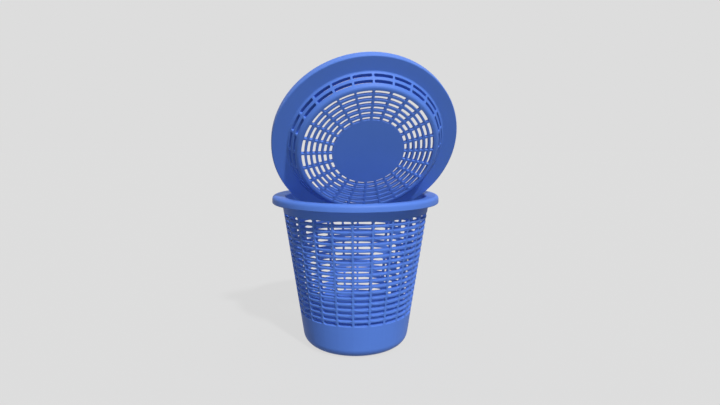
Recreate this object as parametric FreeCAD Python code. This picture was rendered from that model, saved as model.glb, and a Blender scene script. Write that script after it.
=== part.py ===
"""Round latticed wastebasket with a shallow vented lid, in millimetres.

The basket and the lid are two plastic mouldings. The basket stands on z = 0 with its axis on
the Z axis. The lid leans in the basket's mouth with its dome towards -Y.
Each moulding is written as its named regions, which meet face to face.
"""
import FreeCAD, Part
import math
import os

from FreeCAD import Placement, Rotation, Vector

# ---- basket ----
basket_height = 271.0         # to the top of the rim
basket_wall = 6.0             # measured square to the slanting wall
wall_flare = 8.68             # degrees that the wall leans outward
base_corner_radius = 20.0     # outer rounding between wall and underside
base_thickness = 4.0

# ---- basket's rim ----
rim_radius = 150.0
rim_depth = 13.7
rim_wall = 6.0
rim_channel = 11.3            # between the rim's skirt and the wall, at the skirt's lower edge
rim_top_edge = 6.0            # rounding outside, between the rim's top and its skirt
rim_low_edge = 2.0            # rounding outside, under the skirt
rim_flat = 7.0                # from the rim's outside to where its top starts to fall inward
rim_fall = 2.0                # how much lower its top is at the mouth
rim_mouth_edge = 3.0          # rounding of the edge round the mouth
rim_root_fillet = 3.0         # under the rim, where its skirt and its top meet

# ---- basket's lattice ----
rib_count = 24
rib_width = 3.4
slot_rows = 18
hoop = 3.47                   # height of the bar between two rows of slots
lower_band = 59.3             # plain wall below the lowest row
upper_band = 16.6             # plain wall between the highest row and the rim's underside
rib_turn = 5.83               # degrees that the ribs are turned about the axis

# ---- lid ----
lid_clearance = 1.5           # between the lid's lip and the basket's rim when it is closed
lid_wall = 6.0
lip_depth = 15.7
lip_edge = 2.0                # rounding of the lip's outer edges
brim_thickness = 4.0
brim_width = 25.2             # from the lip's outside to the foot of the dome's wall
dome_lean = 34.8              # degrees that the dome's wall leans inward
dome_height = 22.7            # brim's face to the dome's top face
dome_wall = 8.0               # measured square to the dome's slanting wall
dome_foot_fillet = 3.0
shoulder_radius = 5.0
lid_slot_width = 5.0
lid_rib_width = 3.6
wall_slot_rows = 2
wall_low_bar = 2.8            # from the fillet at the dome's foot to the lowest row of slots
wall_high_bar = 4.9           # from the highest row of slots to the shoulder's rounding
grille_rings = 6
grille_border = 3.6           # from the shoulder's rounding to the outermost ring of slots
grille_bar = 4.0              # between two rings of slots

# ---- where the lid leans ----
lid_lean = 120.53             # degrees from lying flat with its dome up
lid_turn = 10.65              # degrees about the basket's axis
lid_spin = 9.15               # degrees about its own axis
mouth_gap = 0.45              # from the lid's edge at the rim's top to the side of the mouth
crossing_x = 9.1              # middle of the line where the brim's face crosses the rim's top
crossing_y = -12.7

AXIS = Vector(0, 0, 1)
ORIGIN = Vector(0, 0, 0)
bay_angle = 360.0 / rib_count
half_bay = math.radians(bay_angle) / 2


def at(radius, z):
    """A point of a section, in the XZ plane."""
    return Vector(radius, 0, z)


def shifted(point, angle, distance):
    """The point moved along a direction in the XZ plane; 0 degrees is outward, 90 is up."""
    turn = math.radians(angle)
    return point + at(math.cos(turn), math.sin(turn)) * distance


def outline(corners):
    """A closed section in the XZ plane. Each corner is (point, rounding radius)."""
    starts, ends, arcs = [], [], []
    for index, (corner, radius) in enumerate(corners):
        before = (corners[index - 1][0] - corner).normalize()
        after = (corners[(index + 1) % len(corners)][0] - corner).normalize()
        if radius == 0:
            starts.append(corner)
            ends.append(corner)
            arcs.append(None)
            continue
        half = before.getAngle(after) / 2
        reach = radius / math.tan(half)
        middle = (before + after).normalize()
        centre = corner + middle * (radius / math.sin(half))
        starts.append(corner + before * reach)
        ends.append(corner + after * reach)
        arcs.append(Part.Arc(starts[-1], centre - middle * radius, ends[-1]).toShape())
    edges = []
    for index, arc in enumerate(arcs):
        if arc:
            edges.append(arc)
        following = starts[(index + 1) % len(starts)]
        if (following - ends[index]).Length > 1e-6:
            edges.append(Part.makeLine(ends[index], following))
    return Part.Face(Part.Wire(edges))


def turned(corners, angle=360.0):
    """The solid that a section sweeps round the axis, half of the angle to each side of +X."""
    section = outline(corners)
    section.rotate(ORIGIN, AXIS, -angle / 2)
    return section.revolve(ORIGIN, AXIS, angle)


def half_gap(x, rib):
    """Half the width between the two ribs of the bay that is centred on +X."""
    return x * math.tan(half_bay) - rib / 2 / math.cos(half_bay)


def window(middle, square_to, width, depth, rib):
    """A slot's cutter through a wall between two ribs, for the bay that is centred on +X.

    middle is on the wall's outer face, and square_to is the angle of that face's normal.
    Its two ends are parallel to the ribs beside them, so a rib has one width all through. It
    runs past both faces of the wall by half the wall.
    """
    normal = shifted(ORIGIN, square_to, 1)
    across = Vector(0, 1, 0)
    along = normal.cross(across)
    low_side = middle - along * (width / 2)
    corners = []
    for reach, sides in ((depth / 2, (-1, 1)), (-depth - depth / 2, (1, -1))):
        point = low_side + normal * reach
        corners += [point + across * half_gap(point.x, rib) * side for side in sides]
    base = Part.Face(Part.makePolygon(corners + corners[:1]))
    return base.extrude(along * width)


def on_bay_side(face):
    """True for a flat end of a bay, where it meets the next bay in the middle of a rib."""
    angles = [math.atan2(vertex.Y, vertex.X) for vertex in face.Vertexes]
    return max(angles) - min(angles) < 1e-6 and abs(abs(angles[0]) - half_bay) < 1e-6


def all_round(bay):
    """One closed solid from equal bays set side by side round the axis."""
    skin = [face for face in bay.Faces if not on_bay_side(face)]
    faces = []
    for number in range(rib_count):
        for face in skin:
            copy = face.copy()
            copy.rotate(ORIGIN, AXIS, bay_angle * number)
            faces.append(copy)
    shell = Part.makeShell(faces)
    shell.sewShape()
    return Part.makeSolid(shell)


def lattice(corners, windows):
    """A ring with the same windows cut in every bay."""
    bay = turned(corners, bay_angle).cut(Part.makeCompound(windows))
    return all_round(bay.Solids[0])


# ---- basket's wall ----
flare = math.radians(wall_flare)
wall_across = basket_wall / math.cos(flare)
rim_underside = basket_height - rim_depth
wall_top_radius = rim_radius - rim_wall - rim_channel
wall_foot_radius = wall_top_radius - rim_underside * math.tan(flare)
upper_band_foot = rim_underside - upper_band
row_pitch = (upper_band_foot - lower_band + hoop) / slot_rows
slot_height = row_pitch - hoop


def outer(z):
    """The wall's outer face at a height."""
    return at(wall_foot_radius + z * math.tan(flare), z)


def inner(z):
    """The wall's inner face at a height."""
    return outer(z) - at(wall_across, 0)


def wall_ring(low, high):
    """A plain band of the wall."""
    return turned([(outer(low), 0), (outer(high), 0), (inner(high), 0), (inner(low), 0)])


def basket_rim():
    """Rim with a turned-down skirt, open underneath, and the wall's top inside it."""
    skirt = rim_radius - rim_wall
    under_top = basket_height - rim_wall - rim_fall
    return turned([
        (inner(rim_underside), 0),
        (at(inner(rim_underside).x, basket_height - rim_fall), rim_mouth_edge),
        (at(rim_radius - rim_flat, basket_height), 0),
        (at(rim_radius, basket_height), rim_top_edge),
        (at(rim_radius, rim_underside), rim_low_edge),
        (at(skirt, rim_underside), 0),
        (at(skirt, under_top), rim_root_fillet),
        (outer(under_top), rim_root_fillet),
        (outer(rim_underside), 0),
    ])


def basket_wall_lattice():
    """The ribs and hoops, with a hoop's width of wall above the top row and below the lowest."""
    low = lower_band - hoop
    high = upper_band_foot + hoop
    windows = []
    for row in range(slot_rows):
        middle = outer(lower_band + slot_height / 2 + row * row_pitch)
        width = slot_height / math.cos(flare)
        windows.append(window(middle, -wall_flare, width, basket_wall, rib_width))
    section = [(outer(low), 0), (outer(high), 0), (inner(high), 0), (inner(low), 0)]
    ring = lattice(section, windows)
    ring.rotate(ORIGIN, AXIS, rib_turn)
    return ring


base_edge = wall_foot_radius - base_corner_radius * math.tan((math.pi / 2 - flare) / 2)


def basket_corner():
    """The rounded ring between the wall and the floor."""
    return turned([
        (at(base_edge, 0), 0),
        (at(wall_foot_radius, 0), base_corner_radius),
        (outer(base_corner_radius), 0),
        (inner(base_corner_radius), 0),
        (inner(base_thickness), base_corner_radius - basket_wall),
        (at(base_edge, base_thickness), 0),
    ])


def basket_floor():
    """The floor plate that the basket stands on."""
    return Part.makeCylinder(base_edge, base_thickness)


# ---- lid, lying flat with its brim's face at z = 0 ----
lid_radius = rim_radius + lid_clearance + lid_wall
lip_inside = lid_radius - lid_wall
dome_foot = at(lid_radius - brim_width, 0)
slant = 90 + dome_lean
dome_edge = shifted(dome_foot, slant, dome_height / math.cos(math.radians(dome_lean)))
turn_reach = math.tan(math.radians(90 - dome_lean) / 2)
wall_slots_start = dome_foot_fillet * turn_reach + wall_low_bar
shoulder_reach = shoulder_radius * turn_reach
wall_slots_end = (dome_edge - dome_foot).Length - shoulder_reach - wall_high_bar
wall_start = wall_slots_start - wall_low_bar / 2
wall_end = wall_slots_end + wall_high_bar / 2
wall_slot_pitch = (wall_slots_end - wall_slots_start - lid_slot_width) / (wall_slot_rows - 1)
grille_foot = dome_height - lid_wall
grille_outside = dome_edge.x - shoulder_reach
grille_slots_outside = grille_outside - grille_border
grille_pitch = lid_slot_width + grille_bar
disc_radius = grille_slots_outside - grille_rings * grille_pitch


def dome_outer(distance):
    """A point on the dome wall's outer face, by its distance up the slant from the brim."""
    return shifted(dome_foot, slant, distance)


def dome_inner(distance):
    """The point on the inner face that is square to it."""
    return shifted(dome_outer(distance), slant + 90, dome_wall)


def dome_inner_at(z):
    """The point on the inner face at a height."""
    lean = math.radians(dome_lean)
    return at(dome_foot.x - dome_wall / math.cos(lean) - z * math.tan(lean), z)


def lid_lip():
    """The turned-down edge that drops over the basket's rim when the lid is closed."""
    return turned([
        (at(lip_inside, 0), 0),
        (at(lip_inside, -lip_depth), 0),
        (at(lid_radius, -lip_depth), lip_edge),
        (at(lid_radius, 0), lip_edge),
    ])


def lid_brim():
    """The flat brim, up to the foot of the dome's wall."""
    return turned([
        (dome_inner_at(-brim_thickness), 0),
        (at(lip_inside, -brim_thickness), 0),
        (at(lip_inside, 0), 0),
        (dome_foot, dome_foot_fillet),
        (dome_outer(wall_start), 0),
        (dome_inner(wall_start), 0),
    ])


def lid_wall_lattice():
    """The dome's slanting wall with its rows of slots."""
    section = [
        (dome_inner(wall_start), 0),
        (dome_outer(wall_start), 0),
        (dome_outer(wall_end), 0),
        (dome_inner(wall_end), 0),
    ]
    windows = []
    for row in range(wall_slot_rows):
        middle = dome_outer(wall_slots_start + lid_slot_width / 2 + row * wall_slot_pitch)
        windows.append(window(middle, dome_lean, lid_slot_width, dome_wall, lid_rib_width))
    return lattice(section, windows)


def lid_shoulder():
    """The rounded ring between the dome's wall and its top."""
    return turned([
        (dome_inner(wall_end), 0),
        (dome_outer(wall_end), 0),
        (dome_edge, shoulder_radius),
        (at(grille_outside, dome_height), 0),
        (at(grille_outside, grille_foot), 0),
        (dome_inner_at(grille_foot), 0),
    ])


def lid_grille():
    """The dome's flat top with its rings of slots between the spokes."""
    section = [
        (at(disc_radius, grille_foot), 0),
        (at(grille_outside, grille_foot), 0),
        (at(grille_outside, dome_height), 0),
        (at(disc_radius, dome_height), 0),
    ]
    windows = []
    for ring in range(grille_rings):
        far = grille_slots_outside - ring * grille_pitch
        near = far - lid_slot_width
        band = turned([
            (at(near, 0), 0),
            (at(far, 0), 0),
            (at(far, dome_height + lid_wall), 0),
            (at(near, dome_height + lid_wall), 0),
        ], bay_angle)
        corners = []
        for x, sides in ((near - lid_wall, (-1, 1)), (far + lid_wall, (1, -1))):
            corners += [Vector(x, half_gap(x, lid_rib_width) * side, 0) for side in sides]
        wedge = Part.Face(Part.makePolygon(corners + corners[:1]))
        windows.append(band.common(wedge.extrude(AXIS * (dome_height + lid_wall))))
    return lattice(section, windows)


def lid_disc():
    """The plain disc in the middle of the grille."""
    return Part.makeCylinder(disc_radius, lid_wall, at(0, grille_foot))


def lid_placement():
    """Leans the lid in the mouth, with its edge close to the side of the mouth."""
    turn = math.radians(lid_turn)
    lean = math.radians(lid_lean)
    mouth_radius = inner(rim_underside).x - mouth_gap
    along = crossing_x * math.cos(turn) + crossing_y * math.sin(turn)
    beside = crossing_x * math.sin(turn) - crossing_y * math.cos(turn)
    half_crossing = math.sqrt(mouth_radius ** 2 - beside ** 2) - abs(along)
    above_rim = math.sqrt(lid_radius ** 2 - half_crossing ** 2)
    backward = Vector(-math.sin(turn), math.cos(turn), 0)
    up_the_lid = backward * math.cos(lean) + AXIS * math.sin(lean)
    centre = Vector(crossing_x, crossing_y, basket_height) + up_the_lid * above_rim
    return Placement(centre, Rotation(lid_turn, 0, lid_lean).multiply(Rotation(lid_spin, 0, 0)))


basket_nodes = {
    "basket_rim": basket_rim(),
    "basket_upper_band": wall_ring(upper_band_foot + hoop, rim_underside),
    "basket_wall_lattice": basket_wall_lattice(),
    "basket_lower_band": wall_ring(base_corner_radius, lower_band - hoop),
    "basket_corner": basket_corner(),
    "basket_floor": basket_floor(),
}
lid_nodes = {
    "lid_lip": lid_lip(),
    "lid_brim": lid_brim(),
    "lid_wall_lattice": lid_wall_lattice(),
    "lid_shoulder": lid_shoulder(),
    "lid_grille": lid_grille(),
    "lid_disc": lid_disc(),
}
for solid in lid_nodes.values():
    solid.Placement = lid_placement().multiply(solid.Placement)

os.makedirs("parts", exist_ok=True)
for name, solid in {**basket_nodes, **lid_nodes}.items():
    solid.exportStep("parts/" + name + ".step")
    print(name, solid.isValid(), len(solid.Solids), round(solid.Volume / 1000, 1), "cm3")
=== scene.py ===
"""A latticed plastic wastebasket, with its loose vented lid leaning in its mouth."""

import math

import bmesh
import bpy
from mathutils import Matrix, Vector


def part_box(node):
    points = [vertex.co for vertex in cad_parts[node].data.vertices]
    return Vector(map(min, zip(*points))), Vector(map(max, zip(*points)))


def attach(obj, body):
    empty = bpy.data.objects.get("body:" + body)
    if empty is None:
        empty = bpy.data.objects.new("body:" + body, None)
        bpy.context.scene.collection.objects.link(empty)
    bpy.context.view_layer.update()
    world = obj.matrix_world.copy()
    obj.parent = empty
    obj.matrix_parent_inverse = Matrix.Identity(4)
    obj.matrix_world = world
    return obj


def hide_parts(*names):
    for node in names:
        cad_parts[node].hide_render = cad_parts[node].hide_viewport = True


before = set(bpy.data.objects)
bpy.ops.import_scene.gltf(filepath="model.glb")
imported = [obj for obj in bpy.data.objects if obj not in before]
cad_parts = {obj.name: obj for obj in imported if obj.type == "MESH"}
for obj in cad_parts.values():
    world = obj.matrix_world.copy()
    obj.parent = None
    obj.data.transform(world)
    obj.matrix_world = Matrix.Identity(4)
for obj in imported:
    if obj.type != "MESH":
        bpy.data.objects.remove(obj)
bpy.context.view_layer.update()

# ---- Basket ----
# One injection moulding in matte polypropylene: a rim with a turned-down skirt, a latticed wall,
# a plain lower band and a floor that stands on a low ring. The mould rounds every edge, and the
# slots close in on their way inward.

RIBS = 24
BAY = math.tau / RIBS            # from the middle of one rib to the middle of the next
COLUMNS = 6                      # strips of faces across a bay; the outer two are half ribs
MERGE = 1e-5                     # points nearer than this become one
ROUNDING_STEP = 0.0035           # a rounding gets one more segment for each such length of radius
EDGE_SEGMENTS = 3
SLOT_END = math.radians(45)      # the wall turns by more than this at a slot's corner
SHARP = math.radians(60)         # and by more than this at an edge that is rounded
FLAT_FACE_WEIGHT = 100           # the largest faces alone set the shading

RIB_WIDTH = 0.0034
RIB_TURN = math.radians(5.83)
SLOT_ROWS = 18
HOOP = 0.00347
SLOT_REACH = HOOP / 4            # a face whose middle is this near a slot's middle closes the slot
SLOT_CORNER = 0.0023
SLOT_DRAFT = 0.00095             # how much each slot's top and bottom close in on their way inward
LATTICE_EDGE = 0.0007            # rounding of the ribs' and hoops' edges

WALL = 0.006
FLARE = math.radians(8.68)
RIM_RADIUS = 0.150
RIM_TOP_EDGE = 0.006
RIM_LOW_EDGE = 0.0019
SKIRT_BREAK = 0.0003
RIM_FLAT = 0.007                 # from the rim's outside to where its top starts to fall inward
RIM_FALL = 0.002
RIM_MOUTH_EDGE = 0.003
RIM_ROOT = 0.003
RIM_CHANNEL = 0.0113
BASE_CORNER = 0.020
FLOOR = 0.004
STANDING_RING = 0.064            # inner radius of the low ring that the basket stands on
UNDERSIDE_RECESS = 0.001
GATE_RADIUS = 0.003              # the round mark where the plastic entered the mould
GATE_DEPTH = 0.0005

rim_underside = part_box("basket_rim")[0].z
rim_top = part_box("basket_rim")[1].z
wall_top_radius = RIM_RADIUS - WALL - RIM_CHANNEL
lowest_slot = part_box("basket_wall_lattice")[0].z + HOOP
highest_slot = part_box("basket_wall_lattice")[1].z - HOOP
row_pitch = (highest_slot - lowest_slot + HOOP) / SLOT_ROWS
slot_height = row_pitch - HOOP


def wall_outside(height):
    """The wall's outer face, as (radius, height)."""
    return Vector((wall_top_radius - (rim_underside - height) * math.tan(FLARE), height))


def wall_inside(height):
    """The wall's inner face, level with a height."""
    return wall_outside(height) - Vector((WALL / math.cos(FLARE), 0))


def moulding_bay(corners, rib_width):
    """One bay of a moulding, centred on +X, with plain walls.

    corners is the moulding's section from axis to axis, as ((radius, height), rounding).
    """
    bm = bmesh.new()
    points = [bm.verts.new((place[0], 0, place[1])) for place, rounding in corners]
    for start, end in zip(points, points[1:]):
        bm.edges.new((start, end))
    for point, (place, rounding) in zip(points, corners):
        if rounding:
            one, other = [edge.other_vert(point).co - point.co for edge in point.link_edges]
            bmesh.ops.bevel(
                bm, geom=[point], offset=rounding / math.tan(one.angle(other) / 2),
                offset_type="OFFSET", segments=2 + round(rounding / ROUNDING_STEP), profile=0.5,
                affect="VERTICES", material=-1)
    to_first_rib = Matrix.Rotation(-BAY / 2, 3, "Z")
    bmesh.ops.rotate(bm, verts=bm.verts[:], cent=(0, 0, 0), matrix=to_first_rib)
    bmesh.ops.spin(
        bm, geom=bm.verts[:] + bm.edges[:], cent=(0, 0, 0), axis=(0, 0, 1), angle=BAY,
        steps=COLUMNS)
    bmesh.ops.remove_doubles(bm, verts=bm.verts[:], dist=MERGE)
    bmesh.ops.recalc_face_normals(bm, faces=bm.faces[:])
    for vertex in bm.verts:
        set_column(vertex, rib_width)
    return bm


def set_column(vertex, rib_width):
    """Turns a vertex about the axis, so that the ribs have one width from end to end."""
    radius = vertex.co.xy.length
    if radius < rib_width:
        return
    azimuth = math.atan2(vertex.co.y, vertex.co.x)
    column = round(azimuth / (BAY / COLUMNS))
    rib_edge = BAY / 2 - min(math.asin(rib_width / 2 / radius), BAY / COLUMNS)
    target = (0, rib_edge / 2, rib_edge, BAY / 2)[abs(column)]
    vertex.co.rotate(Matrix.Rotation(math.copysign(target, azimuth) - azimuth, 3, "Z"))


def slot_outline(bm, middle, rib_width):
    """The faces between the two ribs whose section has its middle there."""
    faces = []
    for face in bm.faces:
        centre = face.calc_center_median()
        radius = centre.xy.length
        to_side = (BAY / 2 - abs(math.atan2(centre.y, centre.x))) * radius
        away = Vector((radius, centre.z)) - middle
        if away.length < SLOT_REACH and to_side > rib_width / 2:
            faces.append(face)
    return faces


def slot_on_inner_face(start, end, through, draft):
    """A slot's two edges on the inner face, nearer each other than on the outer face."""
    closing_in = (end - start).normalized() * draft
    return [start + closing_in - through, end - closing_in - through]


def cut_slots(bm, slots, rib_width, slot_corner, edge):
    """Opens the slots through the wall, and rounds their corners and all sharp edges.

    A slot is given by the middle of its outline on the outer face and on the inner face.
    """
    corner_edges = []
    for middles in slots:
        borders = []
        for middle in middles:
            faces = slot_outline(bm, middle, rib_width)
            borders += [e for e in bm.edges if sum(f in faces for f in e.link_faces) == 1]
            bmesh.ops.delete(bm, geom=faces, context="FACES")
        bridge = bmesh.ops.bridge_loops(bm, edges=borders)
        bmesh.ops.recalc_face_normals(bm, faces=bm.faces[:])
        corner_edges += [e for e in bridge["edges"] if e.calc_face_angle() > SLOT_END]
    bmesh.ops.bevel(
        bm, geom=corner_edges, offset=slot_corner, offset_type="OFFSET", segments=EDGE_SEGMENTS,
        profile=0.5, affect="EDGES", clamp_overlap=False, material=-1)
    bmesh.ops.recalc_face_normals(bm, faces=bm.faces[:])
    sharp_edges = [e for e in bm.edges if e.is_manifold and e.calc_face_angle() > SHARP]
    bmesh.ops.bevel(
        bm, geom=sharp_edges, offset=edge, offset_type="OFFSET", segments=EDGE_SEGMENTS,
        profile=0.5, affect="EDGES", clamp_overlap=False, material=-1)


def moulding(bm, name, body, place):
    """Repeats the bay round the axis as one closed piece, and puts it in its place."""
    bmesh.ops.spin(
        bm, geom=bm.verts[:] + bm.edges[:] + bm.faces[:], cent=(0, 0, 0), axis=(0, 0, 1),
        angle=math.tau - BAY, steps=RIBS - 1, use_duplicate=True)
    bmesh.ops.remove_doubles(bm, verts=bm.verts[:], dist=MERGE)
    bmesh.ops.recalc_face_normals(bm, faces=bm.faces[:])
    bmesh.ops.transform(bm, matrix=place, verts=bm.verts[:])
    mesh = bpy.data.meshes.new(name)
    bm.to_mesh(mesh)
    bm.free()
    mesh.shade_smooth()
    piece = bpy.data.objects.new(name, mesh)
    bpy.context.scene.collection.objects.link(piece)
    normals = piece.modifiers.new("Flat faces stay flat", "WEIGHTED_NORMAL")
    normals.weight = FLAT_FACE_WEIGHT
    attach(piece, body)
    return piece


across_wall = Vector((math.cos(FLARE), -math.sin(FLARE))) * WALL
under_rim_top = rim_top - RIM_FALL - WALL
mouth_radius = wall_inside(rim_underside).x
slot_edges = []
inner_slot_edges = []
basket_slots = []
for row in range(SLOT_ROWS):
    low = wall_outside(lowest_slot + row * row_pitch)
    high = wall_outside(lowest_slot + row * row_pitch + slot_height)
    slot_edges += [low, high]
    inner_slot_edges += slot_on_inner_face(low, high, across_wall, SLOT_DRAFT)
    middle = (low + high) / 2
    basket_slots.append((middle, middle - across_wall))

basket_section = [
    ((0, GATE_DEPTH), 0),
    ((GATE_RADIUS, GATE_DEPTH), 0),
    ((GATE_RADIUS + GATE_DEPTH, UNDERSIDE_RECESS), 0),
    ((STANDING_RING - UNDERSIDE_RECESS, UNDERSIDE_RECESS), 0),
    ((STANDING_RING, 0), 0),
    (wall_outside(0), BASE_CORNER),
    *[(point, 0) for point in slot_edges],
    (wall_outside(under_rim_top), RIM_ROOT),
    ((RIM_RADIUS - WALL, under_rim_top), RIM_ROOT),
    ((RIM_RADIUS - WALL, rim_underside), SKIRT_BREAK),
    ((RIM_RADIUS, rim_underside), RIM_LOW_EDGE),
    ((RIM_RADIUS, rim_top), RIM_TOP_EDGE),
    ((RIM_RADIUS - RIM_FLAT, rim_top), 0),
    ((mouth_radius, rim_top - RIM_FALL), RIM_MOUTH_EDGE),
    (wall_inside(rim_underside), 0),
    *[(point, 0) for point in reversed(inner_slot_edges)],
    (wall_inside(FLOOR), BASE_CORNER - WALL),
    ((0, FLOOR), 0),
]
bay = moulding_bay(basket_section, RIB_WIDTH)
cut_slots(bay, basket_slots, RIB_WIDTH, SLOT_CORNER, LATTICE_EDGE)
basket = moulding(bay, "basket_moulding", "basket", Matrix.Rotation(RIB_TURN, 4, "Z"))
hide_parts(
    "basket_rim", "basket_upper_band", "basket_wall_lattice", "basket_lower_band",
    "basket_corner", "basket_floor")

# ---- Lid ----
# A second moulding in the same plastic: a lip that drops over the rim, a flat brim, and a shallow
# dome with slots in its slanting wall and in its flat top. It leans loose in the basket's mouth.

LID_LEAN = math.radians(120.53)  # from lying flat with its face up
LID_TURN = math.radians(10.65)   # of the leaning lid, about the upright
LID_SPIN = math.radians(9.15)    # about the lid's own axis
LID_RIB = 0.0036
LID_SLOT = 0.005
LID_SLOT_CORNER = 0.0012
DOME_SLOT_DRAFT = 0.0006
GRILLE_SLOT_DRAFT = 0.00025
GRILLE_SLOT_SLANT = 0.0002       # a slot in the top lies this much nearer the axis on the inside
LID_EDGE = 0.0006
LID_CLEARANCE = 0.0015           # to the basket's rim when the lid is closed
LIP_DEPTH = 0.0157
LIP_EDGE = 0.002
BRIM = 0.004
BRIM_WIDTH = 0.0252
BRIM_ROOT = 0.0015
DOME_LEAN = math.radians(34.8)
DOME_HEIGHT = 0.0227
DOME_WALL = 0.008
DOME_FOOT_FILLET = 0.003
SHOULDER = 0.005
SHOULDER_ROOT = 0.001
WALL_SLOT_ROWS = 2
WALL_LOW_BAR = 0.0028            # below the lower row of slots in the dome's wall
WALL_HIGH_BAR = 0.0049           # above the upper row
GRILLE_RINGS = 6
GRILLE_BORDER = 0.0036
GRILLE_BAR = 0.004

lid_radius = RIM_RADIUS + LID_CLEARANCE + WALL
lip_inside = lid_radius - WALL
dome_foot = Vector((lid_radius - BRIM_WIDTH, 0))
up_slant = Vector((-math.sin(DOME_LEAN), math.cos(DOME_LEAN)))
across_dome = Vector((math.cos(DOME_LEAN), math.sin(DOME_LEAN))) * DOME_WALL
dome_edge = dome_foot + up_slant * (DOME_HEIGHT / math.cos(DOME_LEAN))
reach_share = math.tan((math.pi / 2 - DOME_LEAN) / 2)
dome_slots_low = DOME_FOOT_FILLET * reach_share + WALL_LOW_BAR
dome_slots_high = (dome_edge - dome_foot).length - SHOULDER * reach_share - WALL_HIGH_BAR
dome_pitch = (dome_slots_high - dome_slots_low - LID_SLOT) / (WALL_SLOT_ROWS - 1)
grille_slots_outside = dome_edge.x - SHOULDER * reach_share - GRILLE_BORDER


def dome_inside(height):
    """The inner face of the dome's wall at a height."""
    foot = dome_foot.x - DOME_WALL / math.cos(DOME_LEAN)
    return Vector((foot - height * math.tan(DOME_LEAN), height))


top_edges = []
inner_top_edges = []
wall_edges = []
inner_wall_edges = []
lid_slots = []
through_top = Vector((GRILLE_SLOT_SLANT, WALL))
for ring in range(GRILLE_RINGS):
    far = Vector((grille_slots_outside - ring * (LID_SLOT + GRILLE_BAR), DOME_HEIGHT))
    near = far - Vector((LID_SLOT, 0))
    top_edges = [near, far] + top_edges
    inner_top_edges += slot_on_inner_face(far, near, through_top, GRILLE_SLOT_DRAFT)
    middle = (near + far) / 2
    lid_slots.append((middle, middle - through_top))
for row in range(WALL_SLOT_ROWS):
    low = dome_foot + up_slant * (dome_slots_low + row * dome_pitch)
    high = low + up_slant * LID_SLOT
    wall_edges = [high, low] + wall_edges
    inner_wall_edges += slot_on_inner_face(low, high, across_dome, DOME_SLOT_DRAFT)
    middle = (low + high) / 2
    lid_slots.append((middle, middle - across_dome))

lid_section = [
    ((0, DOME_HEIGHT), 0),
    *[(point, 0) for point in top_edges],
    (dome_edge, SHOULDER),
    *[(point, 0) for point in wall_edges],
    (dome_foot, DOME_FOOT_FILLET),
    ((lid_radius, 0), LIP_EDGE),
    ((lid_radius, -LIP_DEPTH), LIP_EDGE),
    ((lip_inside, -LIP_DEPTH), 0),
    ((lip_inside, -BRIM), 0),
    (dome_inside(-BRIM), BRIM_ROOT),
    *[(point, 0) for point in inner_wall_edges],
    (dome_inside(DOME_HEIGHT - WALL), SHOULDER_ROOT),
    *[(point, 0) for point in inner_top_edges],
    ((0, DOME_HEIGHT - WALL), 0),
]
lid_turned = Matrix.Rotation(LID_TURN, 4, "Z") @ Matrix.Rotation(LID_LEAN, 4, "X")
disc_low, disc_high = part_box("lid_disc")
disc_middle = lid_turned @ Vector((0, 0, DOME_HEIGHT - WALL / 2))
lid_place = Matrix.Translation((disc_low + disc_high) / 2 - disc_middle) @ lid_turned
lid_place = lid_place @ Matrix.Rotation(LID_SPIN, 4, "Z")
bay = moulding_bay(lid_section, LID_RIB)
cut_slots(bay, lid_slots, LID_RIB, LID_SLOT_CORNER, LID_EDGE)
lid = moulding(bay, "lid_moulding", "lid", lid_place)
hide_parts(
    "lid_lip", "lid_brim", "lid_wall_lattice", "lid_shoulder", "lid_grille", "lid_disc")

# ---- Plastic ----
# Blue polypropylene, coloured all through. Its skin is matte with a fine grain, as a spark-eroded
# mould gives, with faint clouds in its shade and in its gloss from the flow of the plastic.

BLUE = (0.09, 0.205, 0.66, 1)
MATTE = 0.5                      # its roughness
SPECULAR = 0.18
CLOUD_SIZE = 0.06
CLOUD_CONTRAST = 0.12
CLOUD_DETAIL = 3
GRAIN_SIZE = 0.0011
GRAIN_DEPTH = 0.00006
GRAIN_DETAIL = 1


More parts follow.
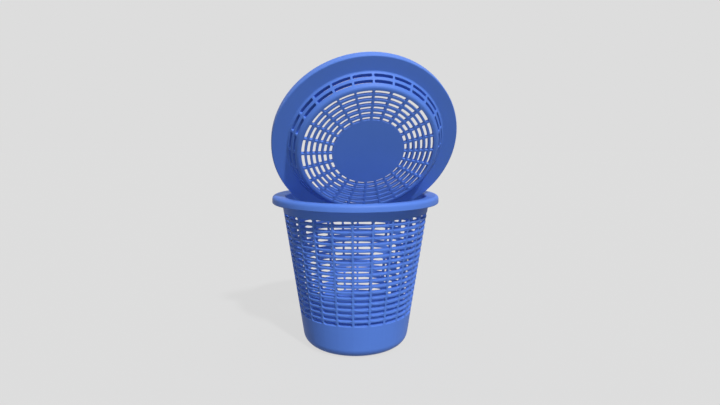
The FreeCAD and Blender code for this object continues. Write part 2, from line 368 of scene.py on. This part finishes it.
def grain_group():
    """The skin of a grained material: faint clouds, and a fine grain to emboss."""
    group = bpy.data.node_groups.new("grained_skin", "ShaderNodeTree")
    for socket, kind, way in (
            ("Colour", "NodeSocketColor", "INPUT"), ("Cloud Size", "NodeSocketFloat", "INPUT"),
            ("Cloud Contrast", "NodeSocketFloat", "INPUT"),
            ("Grain Size", "NodeSocketFloat", "INPUT"),
            ("Grain Depth", "NodeSocketFloat", "INPUT"), ("Matte", "NodeSocketFloat", "INPUT"),
            ("Colour", "NodeSocketColor", "OUTPUT"), ("Roughness", "NodeSocketFloat", "OUTPUT"),
            ("Height", "NodeSocketFloat", "OUTPUT")):
        group.interface.new_socket(name=socket, socket_type=kind, in_out=way)
    nodes = group.nodes
    links = group.links
    values = nodes.new("NodeGroupInput").outputs
    results = nodes.new("NodeGroupOutput").inputs
    place = nodes.new("ShaderNodeTexCoord").outputs["Object"]

    def pattern(size, detail):
        per_metre = nodes.new("ShaderNodeMath")
        per_metre.operation = "DIVIDE"
        per_metre.inputs[0].default_value = 1
        noise = nodes.new("ShaderNodeTexNoise")
        noise.inputs["Detail"].default_value = detail
        links.new(values[size], per_metre.inputs[1])
        links.new(per_metre.outputs["Value"], noise.inputs["Scale"])
        links.new(place, noise.inputs["Vector"])
        return noise.outputs["Fac"]

    def about(middle, pattern_value, amount):
        """middle x (1 + amount x (pattern - 1/2))."""
        centred = nodes.new("ShaderNodeMath")
        centred.operation = "SUBTRACT"
        centred.inputs[1].default_value = 0.5
        swing = nodes.new("ShaderNodeMath")
        swing.operation = "MULTIPLY_ADD"
        swing.inputs[2].default_value = 1
        links.new(pattern_value, centred.inputs[0])
        links.new(centred.outputs["Value"], swing.inputs[0])
        links.new(amount, swing.inputs[1])
        scaled = nodes.new("ShaderNodeVectorMath")
        scaled.operation = "SCALE"
        links.new(middle, scaled.inputs["Vector"])
        links.new(swing.outputs["Value"], scaled.inputs["Scale"])
        return scaled.outputs["Vector"]

    clouds = pattern("Cloud Size", CLOUD_DETAIL)
    grain = pattern("Grain Size", GRAIN_DETAIL)
    links.new(about(values["Colour"], clouds, values["Cloud Contrast"]), results["Colour"])
    links.new(about(values["Matte"], clouds, values["Cloud Contrast"]), results["Roughness"])
    depth = nodes.new("ShaderNodeMath")
    depth.operation = "MULTIPLY"
    links.new(grain, depth.inputs[0])
    links.new(values["Grain Depth"], depth.inputs[1])
    links.new(depth.outputs["Value"], results["Height"])
    return group


def grained(material, shader, settings):
    """Gives a material the grained skin, with its own values."""
    nodes = material.node_tree.nodes
    links = material.node_tree.links
    skin = nodes.new("ShaderNodeGroup")
    skin.node_tree = grained_skin
    for socket, value in settings.items():
        skin.inputs[socket].default_value = value
    bump = nodes.new("ShaderNodeBump")
    bump.inputs["Distance"].default_value = 1
    links.new(skin.outputs["Height"], bump.inputs["Height"])
    links.new(bump.outputs["Normal"], shader.inputs["Normal"])
    links.new(skin.outputs["Roughness"], shader.inputs["Roughness"])
    return skin.outputs["Colour"]


grained_skin = grain_group()
plastic = bpy.data.materials.new("moulded_blue_plastic")
plastic.use_nodes = True
shader = plastic.node_tree.nodes["Principled BSDF"]
shader.inputs["Specular IOR Level"].default_value = SPECULAR
colour = grained(plastic, shader, {
    "Colour": BLUE, "Matte": MATTE, "Cloud Size": CLOUD_SIZE, "Cloud Contrast": CLOUD_CONTRAST,
    "Grain Size": GRAIN_SIZE, "Grain Depth": GRAIN_DEPTH})
plastic.node_tree.links.new(colour, shader.inputs["Base Color"])
basket.data.materials.append(plastic)
lid.data.materials.append(plastic)

# ---- Studio ----
# A pale floor that runs out of sight, a key lamp above the viewer's right shoulder, a weak fill
# from the viewer's side that casts no shadows, and a wide soft light overhead.

BACKGROUND = 0.723
SURROUND = 0.08                  # the world's light on the object
FLOOR_SIZE = 30.0
FLOOR_BOUNCE = 0.15              # how much light the floor throws back at the object
PAPER = 0.7
PAPER_CLOUD_SIZE = 0.4
PAPER_CLOUD_CONTRAST = 0.02
PAPER_GRAIN_SIZE = 0.0015
PAPER_GRAIN_DEPTH = 0.00002
SHADOW_SHARE = 0.1               # of what the floor shows, the rest being its own pale glow
KEY_FROM = Vector((0.33, -0.62, 0.71))
KEY_STRENGTH = 2.9
KEY_ANGLE = math.radians(4)
FILL_FROM = Vector((0, -0.96, 0.28))
FILL_STRENGTH = 0.85
FILL_ANGLE = math.radians(12)
OVERHEAD_STRENGTH = 0.8
OVERHEAD_ANGLE = math.radians(90)
CAMERA_ASIDE = 0.00815
CAMERA_DISTANCE = 0.8888         # from the basket's axis
CAMERA_ABOVE_RIM = 0.1
CAMERA_TILT = 5                  # degrees that the camera looks down
LENS = 24.45
SENSOR = 36
LENS_SHIFT = -0.0291

bm = bmesh.new()
bmesh.ops.create_grid(bm, x_segments=1, y_segments=1, size=FLOOR_SIZE / 2)
mesh = bpy.data.meshes.new("studio_floor")
bm.to_mesh(mesh)
bm.free()
floor = bpy.data.objects.new("studio_floor", mesh)
bpy.context.scene.collection.objects.link(floor)


def seen_directly(material_nodes, material_links):
    """1 where the camera looks, straight, in a reflection or through glass; else 0."""
    ray = material_nodes.new("ShaderNodeLightPath")
    total = ray.outputs["Is Camera Ray"]
    for kind in ("Is Glossy Ray", "Is Transmission Ray"):
        both = material_nodes.new("ShaderNodeMath")
        both.operation = "ADD"
        both.use_clamp = True
        material_links.new(total, both.inputs[0])
        material_links.new(ray.outputs[kind], both.inputs[1])
        total = both.outputs["Value"]
    return total


paper = bpy.data.materials.new("pale_paper")
paper.use_nodes = True
nodes = paper.node_tree.nodes
links = paper.node_tree.links
nodes.remove(nodes["Principled BSDF"])
bounce = nodes.new("ShaderNodeBsdfDiffuse")
bounce.inputs["Color"].default_value = (FLOOR_BOUNCE, FLOOR_BOUNCE, FLOOR_BOUNCE, 1)
lit = nodes.new("ShaderNodeBsdfDiffuse")
colour = grained(paper, lit, {
    "Colour": (PAPER, PAPER, PAPER, 1), "Matte": 0, "Cloud Size": PAPER_CLOUD_SIZE,
    "Cloud Contrast": PAPER_CLOUD_CONTRAST, "Grain Size": PAPER_GRAIN_SIZE,
    "Grain Depth": PAPER_GRAIN_DEPTH})
links.new(colour, lit.inputs["Color"])
glow = nodes.new("ShaderNodeEmission")
glow.inputs["Color"].default_value = (BACKGROUND, BACKGROUND, BACKGROUND, 1)
seen = nodes.new("ShaderNodeMixShader")
seen.inputs["Fac"].default_value = SHADOW_SHARE
mix = nodes.new("ShaderNodeMixShader")
links.new(glow.outputs["Emission"], seen.inputs[1])
links.new(lit.outputs["BSDF"], seen.inputs[2])
links.new(seen_directly(nodes, links), mix.inputs["Fac"])
links.new(bounce.outputs["BSDF"], mix.inputs[1])
links.new(seen.outputs["Shader"], mix.inputs[2])
links.new(mix.outputs["Shader"], nodes["Material Output"].inputs["Surface"])
floor.data.materials.append(paper)

world = bpy.data.worlds.new("studio")
bpy.context.scene.world = world
world.use_nodes = True
nodes = world.node_tree.nodes
links = world.node_tree.links
ambient = nodes["Background"]
ambient.inputs["Color"].default_value = (SURROUND, SURROUND, SURROUND, 1)
backdrop = nodes.new("ShaderNodeBackground")
backdrop.inputs["Color"].default_value = (BACKGROUND, BACKGROUND, BACKGROUND, 1)
mix = nodes.new("ShaderNodeMixShader")
links.new(seen_directly(nodes, links), mix.inputs["Fac"])
links.new(ambient.outputs["Background"], mix.inputs[1])
links.new(backdrop.outputs["Background"], mix.inputs[2])
links.new(mix.outputs["Shader"], nodes["World Output"].inputs["Surface"])

for name, source, strength, angle, shadows in (
        ("key", KEY_FROM, KEY_STRENGTH, KEY_ANGLE, True),
        ("fill", FILL_FROM, FILL_STRENGTH, FILL_ANGLE, False),
        ("overhead", Vector((0, 0, 1)), OVERHEAD_STRENGTH, OVERHEAD_ANGLE, True)):
    light = bpy.data.lights.new(name, "SUN")
    light.energy = strength
    light.angle = angle
    light.use_shadow = shadows
    lamp = bpy.data.objects.new(name, light)
    lamp.rotation_euler = source.to_track_quat("Z", "Y").to_euler()
    bpy.context.scene.collection.objects.link(lamp)

camera_data = bpy.data.cameras.new("camera")
camera_data.lens = LENS
camera_data.sensor_width = SENSOR
camera_data.shift_y = LENS_SHIFT
camera = bpy.data.objects.new("camera", camera_data)
camera.location = (CAMERA_ASIDE, -CAMERA_DISTANCE, rim_top + CAMERA_ABOVE_RIM)
camera.rotation_euler = (math.radians(90 - CAMERA_TILT), 0, 0)
bpy.context.scene.collection.objects.link(camera)
bpy.context.scene.camera = camera
bpy.context.scene.view_settings.view_transform = "Standard"
